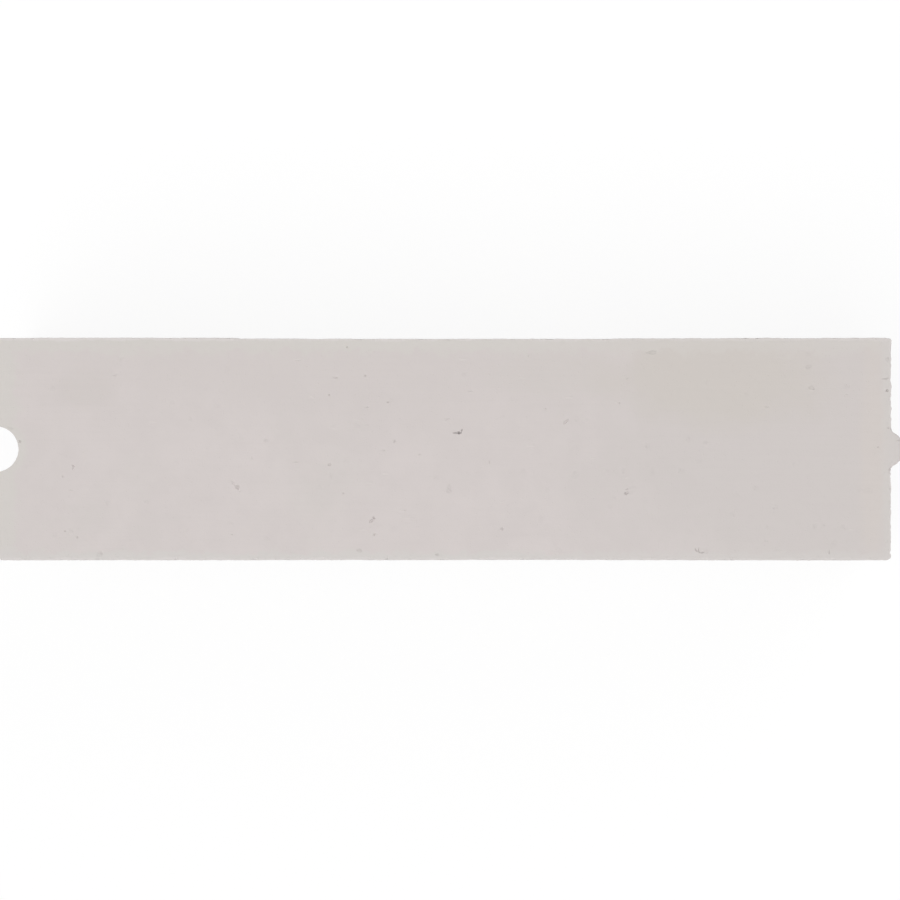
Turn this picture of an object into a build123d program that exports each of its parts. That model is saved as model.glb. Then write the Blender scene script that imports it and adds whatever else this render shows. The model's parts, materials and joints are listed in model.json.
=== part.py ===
"""Aerated concrete wall block, 600 x 150 x 200 mm, with a tongue and a groove on its ends.

The block is one piece. It stands as it is laid in a wall: X runs along its length, Y through
its thickness and +Z up. The origin is the middle of the lower bed face, half-way between the
two end faces. The tongue stands out past the length.
"""

import os
from math import radians, tan

from build123d import *

# Body of the block, in millimetres.
LENGTH = 600.0
THICKNESS = 150.0
HEIGHT = 200.0

# Groove down the -X end, a round channel where the next block's tongue goes in.
GROOVE_RADIUS = 15.2
GROOVE_DEPTH = 13.6
GROOVE_LIP_RADIUS = 1.2

# Tongue down the +X end, with sloping flanks and round shoulders. It is slimmer and
# shallower than the groove, which leaves room round it for thin-bed mortar.
TONGUE_ROOT_WIDTH = 25.0
TONGUE_REACH = 8.0
TONGUE_FLANK_ANGLE = 33.5  # degrees between a flank and the X axis
TONGUE_SHOULDER_RADIUS = 8.0
TONGUE_ROOT_RADIUS = 2.5

# Upright edges of the body. The groove's end is crisp, and handling has worn the
# tongue's end, more at the front (-Y) than at the back.
GROOVE_END_EDGE_RADIUS = 1.5
TONGUE_END_BACK_EDGE_RADIUS = 2.0
TONGUE_END_FRONT_EDGE_RADIUS = 3.4

# Edges round the two bed faces.
BED_EDGE_RADIUS = 0.8

PARTS_FOLDER = "parts"


def ease(outline: Sketch, x: float, y: float, radius: float) -> Sketch:
    """Rounds the outline's corner that lies nearest to x, y."""
    corner = outline.vertices().sort_by_distance((x, y, 0))[0]
    return fillet(corner, radius)


def plan_outline() -> Sketch:
    """The block seen from above, with every corner of its two ends rounded."""
    end_x = LENGTH / 2
    side_y = THICKNESS / 2
    tip_x = end_x + TONGUE_REACH
    root_y = TONGUE_ROOT_WIDTH / 2
    tip_y = root_y - TONGUE_REACH * tan(radians(TONGUE_FLANK_ANGLE))
    groove_centre_x = -end_x - (GROOVE_RADIUS - GROOVE_DEPTH)

    body = Rectangle(LENGTH, THICKNESS)
    # Half a turn moves the circle's seam off the arc that stays in the block.
    groove = Pos(groove_centre_x, 0) * Circle(GROOVE_RADIUS).rotate(Axis.Z, 180)
    tongue = Polygon(
        (end_x, -root_y),
        (tip_x, -tip_y),
        (tip_x, tip_y),
        (end_x, root_y),
        align=None,
    )
    outline = body - groove + tongue

    for side in (-1, 1):
        outline = ease(outline, -end_x, side * GROOVE_RADIUS, GROOVE_LIP_RADIUS)
        outline = ease(outline, tip_x, side * tip_y, TONGUE_SHOULDER_RADIUS)
        outline = ease(outline, end_x, side * root_y, TONGUE_ROOT_RADIUS)
        outline = ease(outline, -end_x, side * side_y, GROOVE_END_EDGE_RADIUS)
    outline = ease(outline, end_x, side_y, TONGUE_END_BACK_EDGE_RADIUS)
    return ease(outline, end_x, -side_y, TONGUE_END_FRONT_EDGE_RADIUS)


def make_block() -> Part:
    """The whole block: the outline raised to its height, with both bed faces' edges eased."""
    raised = extrude(plan_outline(), HEIGHT)
    bed_faces = raised.faces().filter_by(Axis.Z)
    return fillet(bed_faces.edges(), BED_EDGE_RADIUS)


block = make_block()
block.label = "block"
os.makedirs(PARTS_FOLDER, exist_ok=True)
export_step(block, os.path.join(PARTS_FOLDER, "block.step"))
print("block: volume", round(block.volume / 1e6, 3), "litres,", len(block.faces()), "faces")
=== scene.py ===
"""Aerated concrete wall block: the finished block, its studio and the photograph's camera.

The block is one piece, sawn with a wire from a risen cake and milled at its two ends. It is
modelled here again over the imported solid, with what a tape measure misses: arrises that the
wire and handling have crumbled, gas bubbles that the saw has cut open, and faces that wander
by a few tenths of a millimetre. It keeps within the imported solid's box.
"""

import json
import logging
import random
from collections.abc import Callable
from dataclasses import dataclass, field
from enum import Enum, IntEnum
from math import cos, exp, radians, sin, tan

import bmesh
import bpy
from mathutils import Matrix, Vector

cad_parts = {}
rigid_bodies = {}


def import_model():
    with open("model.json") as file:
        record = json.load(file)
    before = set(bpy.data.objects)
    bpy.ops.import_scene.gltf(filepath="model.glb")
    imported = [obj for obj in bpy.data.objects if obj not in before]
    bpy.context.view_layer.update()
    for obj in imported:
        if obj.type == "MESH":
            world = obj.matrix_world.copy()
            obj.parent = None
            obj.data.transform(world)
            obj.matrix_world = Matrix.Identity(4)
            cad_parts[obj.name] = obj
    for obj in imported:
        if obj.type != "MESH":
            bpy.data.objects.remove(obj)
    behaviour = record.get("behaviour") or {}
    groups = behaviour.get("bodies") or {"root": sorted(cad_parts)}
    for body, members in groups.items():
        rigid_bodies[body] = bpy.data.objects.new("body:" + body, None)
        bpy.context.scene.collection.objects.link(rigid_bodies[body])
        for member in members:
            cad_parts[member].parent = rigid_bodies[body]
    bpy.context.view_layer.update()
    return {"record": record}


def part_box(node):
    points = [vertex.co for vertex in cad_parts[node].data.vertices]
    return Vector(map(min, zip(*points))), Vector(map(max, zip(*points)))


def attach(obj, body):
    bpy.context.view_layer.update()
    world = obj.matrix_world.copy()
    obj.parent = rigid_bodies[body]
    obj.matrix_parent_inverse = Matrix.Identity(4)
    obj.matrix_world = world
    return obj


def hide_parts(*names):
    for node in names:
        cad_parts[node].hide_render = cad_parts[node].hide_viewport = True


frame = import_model()

MM = 0.001
HAIR = 1e-6

log = logging.getLogger("aerated_concrete_block")

Socket = bpy.types.NodeSocket
Setting = float | tuple[float, ...] | Socket


def srgb(red: float, green: float, blue: float) -> tuple[float, float, float, float]:
    """Turns a colour from 0 to 255, as a picture stores it, into the shader's linear colour.

    Args:
        red: The picture's red.
        green: The picture's green.
        blue: The picture's blue.

    Returns:
        The linear colour, opaque.
    """

    def linear(value: float) -> float:
        """One channel, through the usual curve."""
        share = value / 255
        return share / 12.92 if share <= 0.04045 else ((share + 0.055) / 1.055) ** 2.4

    return linear(red), linear(green), linear(blue), 1.0


def smoothstep(low: float, high: float, value: float) -> float:
    """The height at a value of a smooth climb from 0 at low to 1 at high, which may be below it."""
    share = min(max((value - low) / (high - low), 0.0), 1.0)
    return share * share * (3 - 2 * share)


# Tools of the bench


def take_up(piece: bpy.types.Object) -> None:
    """Makes this the only selected object, and the active one.

    Args:
        piece: The object.
    """
    bpy.ops.object.select_all(action="DESELECT")
    piece.select_set(True)
    bpy.context.view_layer.objects.active = piece


def open_for_editing(piece: bpy.types.Object, mode: str = "EDGE") -> None:
    """Takes a piece up and opens it in edit mode.

    Args:
        piece: The object to edit.
        mode: What is picked in it: VERT, EDGE or FACE.
    """
    take_up(piece)
    bpy.ops.object.mode_set(mode="EDIT")
    bpy.ops.mesh.select_mode(type=mode)


def close_editing() -> None:
    """Goes back to object mode."""
    bpy.ops.object.mode_set(mode="OBJECT")


def pick(piece: bpy.types.Object, kind: str, wanted: Callable[..., bool]) -> int:
    """Selects, in edit mode, the parts of a mesh that meet a test.

    Args:
        piece: The object that is open for editing.
        kind: Which parts are tested: verts, edges or faces.
        wanted: The test.

    Returns:
        How many are selected.
    """
    mesh = bmesh.from_edit_mesh(piece.data)
    bpy.ops.mesh.select_all(action="DESELECT")
    chosen = [part for part in getattr(mesh, kind) if wanted(part)]
    for part in chosen:
        part.select_set(True)
    bmesh.update_edit_mesh(piece.data)
    return len(chosen)


def slice_at(place: Vector, across: Vector) -> None:
    """Cuts the open mesh right through with a plane, which leaves a ring of edges."""
    bpy.ops.mesh.select_all(action="SELECT")
    bpy.ops.mesh.bisect(plane_co=place, plane_no=across, threshold=HAIR)


def apply_modifier(piece: bpy.types.Object, kind: str, **settings: object) -> None:
    """Adds a modifier to a piece and applies it at once.

    Args:
        piece: The object that gets it.
        kind: The modifier's type.
        **settings: Its properties.
    """
    take_up(piece)
    bpy.ops.object.modifier_add(type=kind)
    modifier = piece.modifiers[-1]
    for name, value in settings.items():
        setattr(modifier, name, value)
    bpy.ops.object.modifier_apply(modifier=modifier.name)


# The shader bench


class Board:
    """A node tree, with short ways to lay nodes on it and join them."""

    def __init__(self, tree: bpy.types.NodeTree) -> None:
        """Clears a material's, a world's or a group's own tree."""
        self.tree = tree
        tree.nodes.clear()

    def add(
        self,
        kind: str,
        inputs: dict[str | int, Setting] | None = None,
        **settings: object,
    ) -> bpy.types.Node:
        """Lays one node.

        Args:
            kind: The node's type.
            inputs: Its sockets, by name or number, each with a value or with what feeds it.
            **settings: Its own properties.

        Returns:
            The node.
        """
        node = self.tree.nodes.new(kind)
        for name, value in settings.items():
            setattr(node, name, value)
        for key, value in (inputs or {}).items():
            if isinstance(value, Socket):
                self.tree.links.new(value, node.inputs[key])
            else:
                node.inputs[key].default_value = value
        return node

    def math(self, operation: str, first: Setting, second: Setting = 0.0) -> Socket:
        """One sum of two numbers."""
        node = self.add("ShaderNodeMath", {0: first, 1: second}, operation=operation)
        return node.outputs[0]

    def fade(self, value: Setting, low: Setting, high: Setting, least: Setting = 0.0,
             most: Setting = 1.0) -> Socket:
        """Climbs smoothly between two levels as a value goes from low to high.

        Args:
            value: What is read.
            low: Where the climb starts.
            high: Where it ends, which may be below low.
            least: The level at low.
            most: The level at high.

        Returns:
            The level's socket.
        """
        sockets = {0: value, 1: low, 2: high, 3: least, 4: most}
        node = self.add("ShaderNodeMapRange", sockets, interpolation_type="SMOOTHSTEP")
        return node.outputs[0]

    def mix(self, share: Setting, first: Setting, second: Setting, way: str = "MIX") -> Socket:
        """Lays one colour over another by a share.

        Args:
            share: How much of the second one shows.
            first: The colour below.
            second: The colour above.
            way: How they blend.

        Returns:
            The colour's socket.
        """
        sockets = {0: share, 6: first, 7: second}
        node = self.add("ShaderNodeMix", sockets, data_type="RGBA", blend_type=way)
        return node.outputs[2]

    def vector(self, operation: str, first: Setting, second: Setting = (0.0, 0.0, 0.0)) -> Socket:
        """One sum of two vectors, axis by axis."""
        node = self.add("ShaderNodeVectorMath", {0: first, 1: second}, operation=operation)
        return node.outputs[0]

    def scaled(self, vector: Socket, scale: Setting) -> Socket:
        """A vector times another, axis by axis."""
        return self.vector("MULTIPLY", vector, scale)

    def noise(self, vector: Socket, scale: Setting, detail: float = 2.0,
              roughness: float = 0.5) -> Socket:
        """Soft noise, about 0.5 on average."""
        sockets = {"Vector": vector, "Scale": scale, "Detail": detail, "Roughness": roughness}
        return self.add("ShaderNodeTexNoise", sockets).outputs[0]

    def axes(self, vector: Socket) -> list[Socket]:
        """A vector's three parts."""
        return list(self.add("ShaderNodeSeparateXYZ", {0: vector}).outputs)

    def length(self, vector: Socket) -> Socket:
        """How long a vector is."""
        node = self.add("ShaderNodeVectorMath", {0: vector}, operation="LENGTH")
        return node.outputs["Value"]

    def shaded(self, colour: Socket, level: Socket) -> Socket:
        """A colour made lighter or darker by a level."""
        grey = self.add("ShaderNodeCombineColor", {0: level, 1: level, 2: level}).outputs[0]
        return self.mix(1.0, colour, grey, "MULTIPLY")

    def effect(self, effect: "Effect", inputs: dict[str, Setting]) -> Socket:
        """Places an effect's group with its own values, and gives its one output."""
        return self.add("ShaderNodeGroup", inputs, node_tree=effect.tree()).outputs[0]


class Effect:
    """Something that happens on more than one finish, kept as one node group."""

    name = "effect"
    inputs: dict[str, str] = {}
    outputs: dict[str, str] = {}

    def tree(self) -> bpy.types.NodeTree:
        """The group, built the first time that it is asked for.

        Returns:
            The node group.
        """
        made = bpy.data.node_groups.get(self.name)
        if made:
            return made
        tree = bpy.data.node_groups.new(self.name, "ShaderNodeTree")
        for label, kind in self.inputs.items():
            tree.interface.new_socket(name=label, in_out="INPUT", socket_type=kind)
        for label, kind in self.outputs.items():
            tree.interface.new_socket(name=label, in_out="OUTPUT", socket_type=kind)
        board = Board(tree)
        entry = board.add("NodeGroupInput")
        leave = board.add("NodeGroupOutput")
        for label, socket in self.lay(board, entry.outputs).items():
            tree.links.new(socket, leave.inputs[label])
        return tree

    def lay(self, board: Board, given: bpy.types.bpy_prop_collection) -> dict[str, Socket]:
        """Lays the effect's nodes.

        Args:
            board: The group's empty board.
            given: The group's inputs, by name.

        Returns:
            What feeds each output.
        """
        raise NotImplementedError


VECTOR = "NodeSocketVector"
FLOAT = "NodeSocketFloat"
COLOR = "NodeSocketColor"


class CakeColour(Effect):
    """The cake's own colour: wide pinkish and greenish clouds, and a fine mealy grain."""

    name = "cake_colour"
    inputs = {"Vector": VECTOR, "Pink": COLOR, "Green": COLOR, "Cloud Scale": FLOAT,
              "Grain": FLOAT}
    outputs = {"Color": COLOR}
    greenness = (0.50, 0.72)  # the noise at which green starts, and where it is full
    puff_scale = 38.0
    puff_levels = (0.985, 1.012)
    meal_scale = 1400.0

    def lay(self, board: Board, given: bpy.types.bpy_prop_collection) -> dict[str, Socket]:
        """Lays the clouds, the puffs and the meal.

        Args:
            board: The group's empty board.
            given: The group's inputs, by name.

        Returns:
            What feeds each output.
        """
        clouds = board.noise(given["Vector"], given["Cloud Scale"], detail=3.0, roughness=0.55)
        greenness = board.fade(clouds, *self.greenness)
        tint = board.mix(greenness, given["Pink"], given["Green"])
        puffs = board.noise(given["Vector"], self.puff_scale, detail=4.0, roughness=0.6)
        lighter = board.fade(puffs, 0.3, 0.7, *self.puff_levels)
        meal = board.noise(given["Vector"], self.meal_scale, roughness=0.7)
        mealy = board.math("MULTIPLY", board.math("SUBTRACT", meal, 0.5), given["Grain"])
        level = board.math("MULTIPLY", lighter, board.math("ADD", mealy, 1.0))
        return {"Color": board.shaded(tint, level)}


class OpenPores(Effect):
    """Small gas bubbles cut open: a hollow in some cells of a loose net of them."""

    name = "open_pores"
    inputs = {"Vector": VECTOR, "Scale": FLOAT, "Largest": FLOAT, "Softness": FLOAT,
              "Share": FLOAT}
    outputs = {"Mask": FLOAT}

    def lay(self, board: Board, given: bpy.types.bpy_prop_collection) -> dict[str, Socket]:
        """Lays the cells, and opens some of them.

        Args:
            board: The group's empty board.
            given: The group's inputs, by name.

        Returns:
            What feeds each output.
        """
        sockets = {"Vector": given["Vector"], "Scale": given["Scale"]}
        cells = board.add("ShaderNodeTexVoronoi", sockets)
        draws = board.add("ShaderNodeSeparateColor", {0: cells.outputs["Color"]})
        radius = board.math("MULTIPLY", draws.outputs[0], given["Largest"])
        inner = board.math("MULTIPLY", radius, board.math("SUBTRACT", 1.0, given["Softness"]))
        hollow = board.fade(cells.outputs["Distance"], radius, inner)
        open_here = board.math("LESS_THAN", draws.outputs[1], given["Share"])
        return {"Mask": board.math("MULTIPLY", hollow, open_here)}


class ToolMarks(Effect):
    """Faint lines that a wire or a cutter leaves, drawn out along its way."""

    name = "tool_marks"
    inputs = {"Vector": VECTOR, "Stretch": VECTOR}
    outputs = {"Line": FLOAT}
    fading_scale = 14.0
    faintest = 0.25

    def lay(self, board: Board, given: bpy.types.bpy_prop_collection) -> dict[str, Socket]:
        """Lays the lines, which fade here and there.

        Args:
            board: The group's empty board.
            given: The group's inputs, by name.

        Returns:
            What feeds each output.
        """
        drawn = board.scaled(given["Vector"], given["Stretch"])
        lines = board.noise(drawn, 1.0, detail=3.0, roughness=0.6)
        fading = board.noise(given["Vector"], self.fading_scale)
        strength = board.fade(fading, 0.35, 0.65, least=self.faintest)
        centred = board.math("SUBTRACT", lines, 0.5)
        return {"Line": board.math("MULTIPLY", centred, strength)}


class ArrisDustAndHighlight(Effect):
    """A border along the arrises, worked out from the block's own box: the dusty border, and the
    arrises' paler colour, which is partly painted highlight.
    """

    name = "arris_dust"
    inputs = {"Vector": VECTOR, "Half Size": VECTOR, "Low Per Width": VECTOR,
              "High Per Width": VECTOR}
    outputs = {"Mask": FLOAT}
    ragged_scale = 90.0
    reaches = (0.55, 1.45)  # the least and the most, as shares of the width

    def lay(self, board: Board, given: bpy.types.bpy_prop_collection) -> dict[str, Socket]:
        """Lays the border, as wide as the second least depth tells.

        Args:
            board: The group's empty board.
            given: The group's inputs, by name.

        Returns:
            What feeds each output.
        """
        from_low = board.vector("ADD", given["Vector"], given["Half Size"])
        from_high = board.vector("SUBTRACT", given["Half Size"], given["Vector"])
        low = board.vector("ABSOLUTE", board.scaled(from_low, given["Low Per Width"]))
        high = board.vector("ABSOLUTE", board.scaled(from_high, given["High Per Width"]))
        depths = board.axes(board.vector("MINIMUM", low, high))
        total = board.math("ADD", board.math("ADD", depths[0], depths[1]), depths[2])
        least = board.math("MINIMUM", board.math("MINIMUM", depths[0], depths[1]), depths[2])
        most = board.math("MAXIMUM", board.math("MAXIMUM", depths[0], depths[1]), depths[2])
        middle = board.math("SUBTRACT", board.math("SUBTRACT", total, least), most)
        ragged = board.noise(given["Vector"], self.ragged_scale, detail=4.0, roughness=0.6)
        reach = board.fade(ragged, 0.25, 0.75, *self.reaches)
        return {"Mask": board.fade(middle, reach, board.math("MULTIPLY", reach, 0.5))}


class SoftCloud(Effect):
    """One wide darker cloud, round in the vector that it is given, with a torn border."""

    name = "soft_cloud"
    inputs = {"Vector": VECTOR, "Position": VECTOR}
    outputs = {"Mask": FLOAT}
    torn_scale = 26.0
    border = (1.15, 0.45)  # where the cloud starts, and where it is full

    def lay(self, board: Board, given: bpy.types.bpy_prop_collection) -> dict[str, Socket]:
        """Lays the cloud.

        Args:
            board: The group's empty board.
            given: The group's inputs, by name.

        Returns:
            What feeds each output.
        """
        distance = board.length(given["Vector"])
        torn = board.noise(given["Position"], self.torn_scale, detail=4.0, roughness=0.6)
        pushed = board.math("ADD", distance, board.math("SUBTRACT", torn, 0.5))
        return {"Mask": board.fade(pushed, *self.border)}


# The finishes


@dataclass(frozen=True)
class StainAndShadePatch:
    """A wide patch of another shade: mostly where the cake has dried so, and once painted shade."""

    middle: tuple[float, float, float]  # metres
    reach: tuple[float, float, float]  # metres
    colour: tuple[float, ...]
    strength: float


STAINS_AND_PAINTED_SHADE = (
    # Painted shade: the tongue's third of the block is drawn a little greyer, for the light falling
    # off towards that end.
    StainAndShadePatch((0.237, 0.010, 0.2), (0.185, 0.130, 0.32), srgb(208.0, 202.4, 200.0), 0.85),
    # A long faint one lies along the back.
    StainAndShadePatch((-0.03, 0.090, 0.2), (0.36, 0.085, 0.20), srgb(209.6, 203.4, 201.2), 0.7),
    # Two small grey ones, and the brown one over the back of the tongue's end.
    StainAndShadePatch((-0.238, 0.040, 0.2), (0.024, 0.015, 0.10), srgb(208.6, 202.6, 200.0), 0.7),
    StainAndShadePatch((0.075, 0.050, 0.2), (0.050, 0.017, 0.10), srgb(209.0, 203.4, 200.4), 0.7),
    StainAndShadePatch((0.180, 0.049, 0.2), (0.084, 0.040, 0.15), srgb(206.9, 201.3, 196.4), 0.85),
    StainAndShadePatch((-0.281, 0.0, 0.2), (0.016, 0.024, 0.20), srgb(210.4, 204.2, 202.2), 0.8),
    StainAndShadePatch((0.288, 0.0, 0.2), (0.010, 0.10, 0.20), srgb(210.7, 204.2, 200.4), 0.75),
)


@dataclass(frozen=True)
class ConcreteFinish:
    """What every surface of the block shares: the cake's colours and its chalky surface."""

    name: str
    half_size: Vector
    groove_axis_x: float
    groove_radius: float
    pink: tuple[float, ...] = srgb(211.9, 205.5, 203.7)
    green: tuple[float, ...] = srgb(211.0, 205.6, 202.8)
    # The border is yellower at the back and the groove's end than at the front.
    back_dust: tuple[float, ...] = srgb(211.0, 207.3, 203.1)
    front_dust: tuple[float, ...] = srgb(211.4, 207.9, 205.2)
    # One over the border's width, in metres, on each axis: at its low and its high side.
    dust_low: tuple[float, ...] = (62.0, 125.0, 115.0)
    dust_high: tuple[float, ...] = (140.0, 80.0, 115.0)
    # The arrises themselves are broken, and paler still: partly the fresh break's own colour,
    # partly painted highlight for the light that falls off the rounded arrises.
    arris_dust: tuple[float, ...] = srgb(216.6, 212.0, 210.2)
    arris_low: tuple[float, ...] = (900.0, 420.0, 420.0)
    arris_high: tuple[float, ...] = (900.0, 370.0, 420.0)
    # How far from the groove's wall its border starts, and where it is full.
    groove_border: tuple[float, float] = (8 * MM, 3 * MM)
    # How far before the tongue's end face the tongue's thinner dust starts, and where it is full.
    tongue_start: tuple[float, float] = (8 * MM, 5 * MM)
    tongue_half_width: tuple[float, float] = (15.5 * MM, 13.0 * MM)
    # The dust is thinner on the tongue's third, and thinnest on the tongue.
    thinning_x: tuple[float, float] = (20 * MM, 160 * MM)
    thickness: tuple[float, float] = (0.85, 0.52)
    tongue_thickness: float = 0.6
    cloud_scale: float = 8.5
    spot_colour: tuple[float, ...] = srgb(120, 112, 104)
    spot_share: float = 0.05
    grain: float = 0.033
    pore_scale: float = 800.0  # cells to a metre
    pore_share: float = 0.35
    pore_depth: float = 0.08  # millimetres
    # Painted shade: the open pores are drawn darker, for the shade inside them.
    pore_shade: float = 0.026
    marks_stretch: tuple[float, ...] = (9.0, 420.0, 420.0)
    marks_depth: float = 0.05  # millimetres
    marks_shade: float = 0.03
    meal_scale: float = 700.0
    meal_height: float = 0.05  # millimetres
    shade: float = 1.0
    roughness: tuple[float, float] = (0.86, 0.97)

    def make(self) -> bpy.types.Material:
        """Lays the material's nodes.

        Returns:
            The material.
        """
        material = bpy.data.materials.new(self.name)
        material.use_nodes = True
        board = Board(material.node_tree)
        place = board.add("ShaderNodeTexCoord").outputs["Object"]
        pores = board.effect(OpenPores(), {
            "Vector": place, "Scale": self.pore_scale, "Largest": 0.42, "Softness": 0.5,
            "Share": self.pore_share,
        })
        marks = board.effect(ToolMarks(), {"Vector": place, "Stretch": self.marks_stretch})
        colour = self.colour(board, place, pores, marks)
        surface = board.add("ShaderNodeBsdfPrincipled", {
            "Base Color": colour,
            "Roughness": self.roughness_over(board, place),
            "Specular IOR Level": 0.25,
            "Diffuse Roughness": 0.6,
            "Normal": self.relief(board, place, pores, marks),
        })
        board.add("ShaderNodeOutputMaterial", {"Surface": surface.outputs[0]})
        return material

    def colour(self, board: Board, place: Socket, pores: Socket, marks: Socket) -> Socket:
        """Works the colour out.

        Args:
            board: The material's board.
            place: The point on the block.
            pores: Where the open pores are.
            marks: The tool's lines.

        Returns:
            The colour socket.
        """
        stained_and_shaded = board.effect(CakeColour(), {
            "Vector": place, "Pink": self.pink, "Green": self.green,
            "Cloud Scale": self.cloud_scale, "Grain": self.grain,
        })
        # The stains, and one wide patch of painted shade over the tongue's third.
        for stain in STAINS_AND_PAINTED_SHADE:
            mapped = board.add("ShaderNodeMapping", {
                "Vector": place, "Location": stain.middle, "Scale": stain.reach,
            }, vector_type="TEXTURE").outputs[0]
            cloud = board.effect(SoftCloud(), {"Vector": mapped, "Position": place})
            share = board.math("MULTIPLY", cloud, stain.strength)
            stained_and_shaded = board.mix(share, stained_and_shaded, stain.colour)
        spots = board.effect(OpenPores(), {
            "Vector": self.strayed(board, place), "Scale": 62.0, "Largest": 0.17,
            "Softness": 0.9, "Share": 0.4,
        })
        spotty = board.math("MULTIPLY", spots, self.spot_share)
        spotted = board.mix(spotty, stained_and_shaded, self.spot_colour)
        dusty = self.dusted(board, place, spotted)
        lined = board.math("MULTIPLY", marks, self.marks_shade)
        level = board.math("ADD", lined, self.shade)
        # Painted shade: the colour is darkened in the open pores.
        pored = board.math("SUBTRACT", level, board.math("MULTIPLY", pores, self.pore_shade))
        return board.shaded(dusty, pored)

    def dusted(self, board: Board, place: Socket, colour: Socket) -> Socket:
        """Lays the dusty borders, and the broken arrises with their painted highlight, over the
        colour.

        Args:
            board: The material's board.
            place: The point on the block.
            colour: The colour under the dust.

        Returns:
            The colour socket.
        """
        half = self.half_size
        centred = board.vector("SUBTRACT", place, Vector((0, 0, half.z)))
        border, broken = (board.effect(ArrisDustAndHighlight(), {
            "Vector": centred, "Half Size": half, "Low Per Width": low, "High Per Width": high,
        }) for low, high in (
            (self.dust_low, self.dust_high), (self.arris_low, self.arris_high)))
        along, across, _ = board.axes(place)
        # The groove has its own border round it.
        from_groove = board.vector("SUBTRACT", place, (self.groove_axis_x, 0.0, 0.0))
        out = board.length(board.scaled(from_groove, (1.0, 1.0, 0.0)))
        by_groove = board.fade(out, *(self.groove_radius + gap for gap in self.groove_border))
        by_end = board.fade(along, *(half.x - gap for gap in self.tongue_start))
        by_middle = board.fade(board.math("ABSOLUTE", across), *self.tongue_half_width)
        tongue = board.math("MULTIPLY", by_end, by_middle)
        thickness = board.fade(along, *self.thinning_x, *self.thickness)
        thinner = board.fade(tongue, 0.0, 1.0, least=1.0, most=self.tongue_thickness)
        laid = board.math("MULTIPLY", thickness, thinner)
        share = board.math("MULTIPLY", board.math("MAXIMUM", border, by_groove), laid)
        off_front = board.fade(across, -half.y + 3 * MM, -half.y + 12 * MM)
        off_end = board.fade(along, half.x - 12 * MM, half.x - 4 * MM, least=1.0, most=0.3)
        behind = board.math("MULTIPLY", off_front, off_end)
        dust = board.mix(behind, self.front_dust, self.back_dust)
        dusty = board.mix(share, colour, dust)
        # The arris stops at the tongue, which stands out of the middle of its end.
        pale_arris_and_highlight = board.math("MULTIPLY", broken, board.math("SUBTRACT", thickness, tongue))
        # The paler arris: partly the broken cake's own colour, partly painted highlight over the
        # rounded arrises.
        return board.mix(board.math("MAXIMUM", pale_arris_and_highlight, 0.0), dusty, self.arris_dust)

    def strayed(self, board: Board, place: Socket) -> Socket:
        """Pushes a place about by a millimetre or two, which spoils a round shape.

        Args:
            board: The material's board.
            place: The point on the block.

        Returns:
            The pushed point's socket.
        """
        sockets = {"Vector": place, "Scale": 260.0, "Detail": 2.0}
        stray = board.add("ShaderNodeTexNoise", sockets).outputs["Color"]
        centred = board.vector("SUBTRACT", stray, (0.5, 0.5, 0.5))
        return board.vector("ADD", place, board.scaled(centred, (5 * MM, 5 * MM, 5 * MM)))

    def roughness_over(self, board: Board, place: Socket) -> Socket:
        """Chalk that is a little smoother where the tool has pressed it."""
        least, most = self.roughness
        return board.fade(board.noise(place, 60.0, detail=3.0), 0.3, 0.7, least, most)

    def relief(self, board: Board, place: Socket, pores: Socket, marks: Socket) -> Socket:
        """Works the bump out, from heights in millimetres.

        Args:
            board: The material's board.
            place: The point on the block.
            pores: Where the open pores are.
            marks: The tool's lines.

        Returns:
            The normal socket.
        """
        sunk = board.math("MULTIPLY", pores, -self.pore_depth)
        lines = board.math("MULTIPLY", marks, self.marks_depth)
        fine = board.noise(place, self.meal_scale, detail=3.0, roughness=0.7)
        meal = board.math("MULTIPLY", fine, self.meal_height)
        height = board.math("ADD", board.math("ADD", sunk, lines), meal)
        bump = board.add("ShaderNodeBump", {"Height": height, "Distance": MM, "Strength": 1.0})
        return bump.outputs[0]


@dataclass(frozen=True)
class SideFinish(ConcreteFinish):
    """The front and the back, where the wire dragged more and opened more pores."""

    pore_scale: float = 620.0
    pore_share: float = 0.5
    pore_depth: float = 0.16
    # Painted shade in the open pores, stronger on these faces.
    pore_shade: float = 0.06
    marks_depth: float = 0.12
    marks_shade: float = 0.05


@dataclass(frozen=True)
class MilledFinish(ConcreteFinish):
    """The two ends, whose cutter ran upright and left them a little rougher."""

    marks_stretch: tuple[float, ...] = (380.0, 380.0, 7.0)
    marks_depth: float = 0.14
    marks_shade: float = 0.06
    pore_share: float = 0.4


@dataclass(frozen=True)
class FreshAndPaintedLightFinish(ConcreteFinish):
    """Cake that has crumbled away since it was cut, pale and without tool marks: its paleness is
    partly the fresh break's own and partly painted light on the chips' shaded walls.
    """

    pore_scale: float = 700.0
    pore_share: float = 0.5
    pore_depth: float = 0.2
    marks_depth: float = 0.0
    marks_shade: float = 0.0
    # Partly the fresh break's own paler colour, partly painted light that lifts chip walls facing
    # away from the lamps.
    shade: float = 1.03


@dataclass(frozen=True)
class TornPaintedShadeFinish(FreshAndPaintedLightFinish):
    """The inside of a pit: torn cake, painted a little darker as the shade in it."""

    # Painted shade: the pit's inside is drawn a little darker.
    shade: float = 0.96


@dataclass(frozen=True)
class DipPaintedShadeFinish(FreshAndPaintedLightFinish):
    """The bottom of a soft dip, painted a shade darker as the faint shade in it."""

    # Painted shade: the dip's bottom is drawn a shade darker.
    shade: float = 0.985


@dataclass(frozen=True)
class DeepPaintedShadeFinish(FreshAndPaintedLightFinish):
    """The inside of a deep tear, painted much darker as the deep shade in it."""

    # Painted shade: the deep tear's inside is drawn much darker.
    shade: float = 0.79


# The pits


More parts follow.
